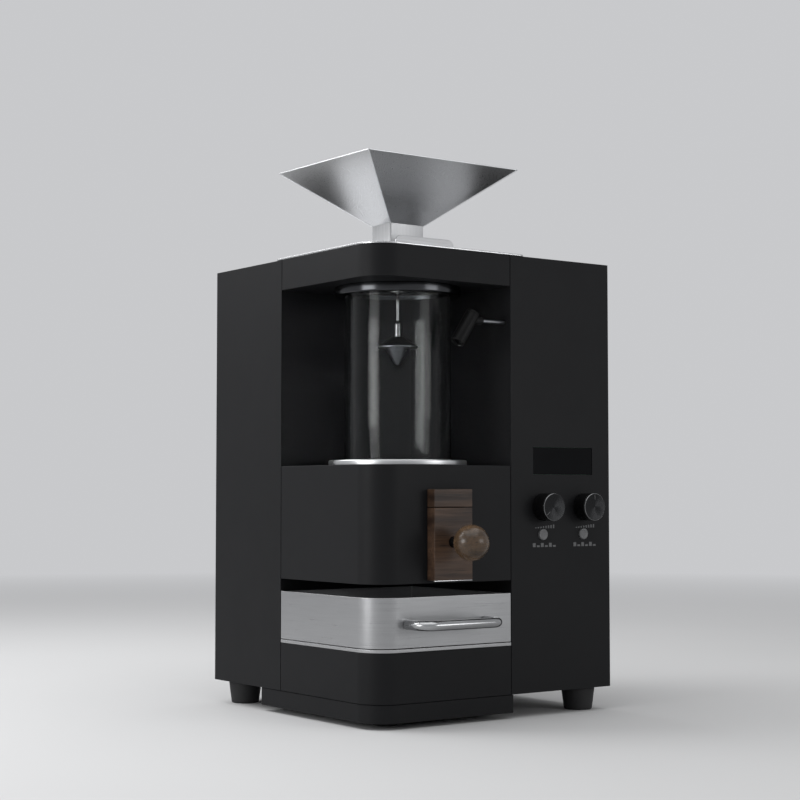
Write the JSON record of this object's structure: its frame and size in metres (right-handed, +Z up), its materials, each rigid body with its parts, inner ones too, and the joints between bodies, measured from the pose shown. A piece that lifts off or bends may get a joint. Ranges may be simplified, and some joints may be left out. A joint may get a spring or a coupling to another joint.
{
  "type": "home coffee bean roaster",
  "caption": "Countertop hot-air coffee bean roaster: square black casing, glass chamber in a cut-away corner, steel hopper on top and a sliding cooling drawer below.",
  "frame": {"origin": "on the floor, under the middle of the overall box", "axes": "+Z up, front (knobs, display, drawer handle) faces -Y, the glazed left side faces -X"},
  "size_m": [0.256, 0.3034, 0.4585],
  "materials": {
    "black_paint": "satin black powder coat",
    "brushed_steel": "brushed",
    "polished_steel": "polished",
    "dark_steel": "satin dark",
    "walnut": "oiled walnut, grain across the block",
    "black_rubber": "matte",
    "clear_glass": "clear",
    "gloss_black": "gloss",
    "black_plastic": "matte",
    "grey_plastic": "matte",
    "seal_rubber": "matte silicone",
    "mica": "sheet mica",
    "circuit": "circuit board",
    "heater_wire": "oxidised",
    "galvanised": "galvanised"
  },
  "bodies": {
    "casing": {"main_casing": "black_paint", "rear_cover": "black_paint", "corner_lintel": "black_paint", "corner_middle_panel": "black_paint", "corner_lower_panel": "black_paint", "base_pan": "black_paint", "foot_rear_left": "black_rubber", "foot_rear_right": "black_rubber", "foot_front_right": "black_rubber", "foot_pad_front_left": "black_rubber", "top_plate": "brushed_steel", "gate_track": "brushed_steel", "air_distributor": "brushed_steel", "discharge_chute": "brushed_steel", "drawer_shelf": "brushed_steel", "lower_ring": "polished_steel", "spreader_rod": "polished_steel", "lamp_rod": "polished_steel", "upper_ring": "dark_steel", "bean_spreader": "dark_steel", "glass_chamber": "clear_glass", "upper_seal": "seal_rubber", "lower_seal": "seal_rubber", "wood_block_upper": "walnut", "air_box": "galvanised", "blower_motor": "galvanised", "blower_duct": "galvanised", "heater_housing": "galvanised", "air_elbow": "galvanised", "exhaust_duct": "galvanised", "cooling_fan_frame": "black_plastic", "blower_housing": "black_plastic", "power_inlet": "black_plastic", "switch_housing": "black_plastic", "display_pane": "gloss_black", "display_module": "circuit", "control_board": "circuit", "power_board": "circuit", "heater_core": "mica", "heater_coil": "heater_wire"},
    "drawer": {"cooling_drawer": "brushed_steel", "drawer_screen": "brushed_steel", "drawer_handle": "polished_steel"},
    "discharge": {"discharge_gate": "brushed_steel", "wood_block_lower": "walnut", "knob_stud": "polished_steel", "ball_knob": "walnut"},
    "hopper_gate": {"hopper_gate": "brushed_steel"},
    "hopper": {"hopper": "brushed_steel"},
    "heat_knob": {"heat_knob": "dark_steel"},
    "fan_knob": {"fan_knob": "dark_steel"},
    "light_button": {"light_button": "grey_plastic"},
    "cool_button": {"cool_button": "grey_plastic"},
    "lamp": {"lamp_head": "black_plastic", "lamp_lens": "clear_glass"},
    "power_rocker": {"power_rocker": "black_plastic"},
    "blower_wheel": {"blower_impeller": "galvanised"},
    "fan_wheel": {"cooling_fan_rotor": "black_plastic"}
  },
  "joints": [
    {"name": "drawer_slide", "type": "slide", "parent": "casing", "child": "drawer", "axis": [0, -1, 0], "range_m": [0, 0.12]},
    {"name": "discharge_pull", "type": "slide", "parent": "casing", "child": "discharge", "axis": [0, -1, 0], "range_m": [0, 0.034]},
    {"name": "hopper_gate_pull", "type": "slide", "parent": "casing", "child": "hopper_gate", "axis": [0, -1, 0], "range_m": [0, 0.03]},
    {"name": "hopper_lift", "type": "slide", "parent": "casing", "child": "hopper", "axis": [0, 0, 1], "range_m": [0, 0.06]},
    {"name": "heat_knob_turn", "type": "hinge", "parent": "casing", "child": "heat_knob", "pos_m": [0.0507, -0.11195, 0.1744], "axis": [0, -1, 0], "range_deg": [-150, 150]},
    {"name": "fan_knob_turn", "type": "hinge", "parent": "casing", "child": "fan_knob", "pos_m": [0.0961, -0.11195, 0.1744], "axis": [0, -1, 0], "range_deg": [-150, 150]},
    {"name": "light_button_press", "type": "slide", "parent": "casing", "child": "light_button", "axis": [0, 1, 0], "range_m": [0, 0.0015], "stiffness_N_per_m": 600},
    {"name": "cool_button_press", "type": "slide", "parent": "casing", "child": "cool_button", "axis": [0, 1, 0], "range_m": [0, 0.0015], "stiffness_N_per_m": 600},
    {"name": "lamp_tilt", "type": "hinge", "parent": "casing", "child": "lamp", "pos_m": [-0.0213, -0.09495, 0.329], "axis": [1, 0, 0], "range_deg": [-25, 25]},
    {"name": "power_rocker_tilt", "type": "hinge", "parent": "casing", "child": "power_rocker", "pos_m": [0.038, 0.14705, 0.155], "axis": [1, 0, 0], "range_deg": [-16, 0]},
    {"name": "blower_spin", "type": "hinge", "parent": "casing", "child": "blower_wheel", "pos_m": [0.07, 0.08005, 0.06], "axis": [0, 0, 1], "continuous": true},
    {"name": "fan_spin", "type": "hinge", "parent": "casing", "child": "fan_wheel", "pos_m": [-0.051, -0.03644, 0.05], "axis": [0, 0, 1], "continuous": true}
  ]
}
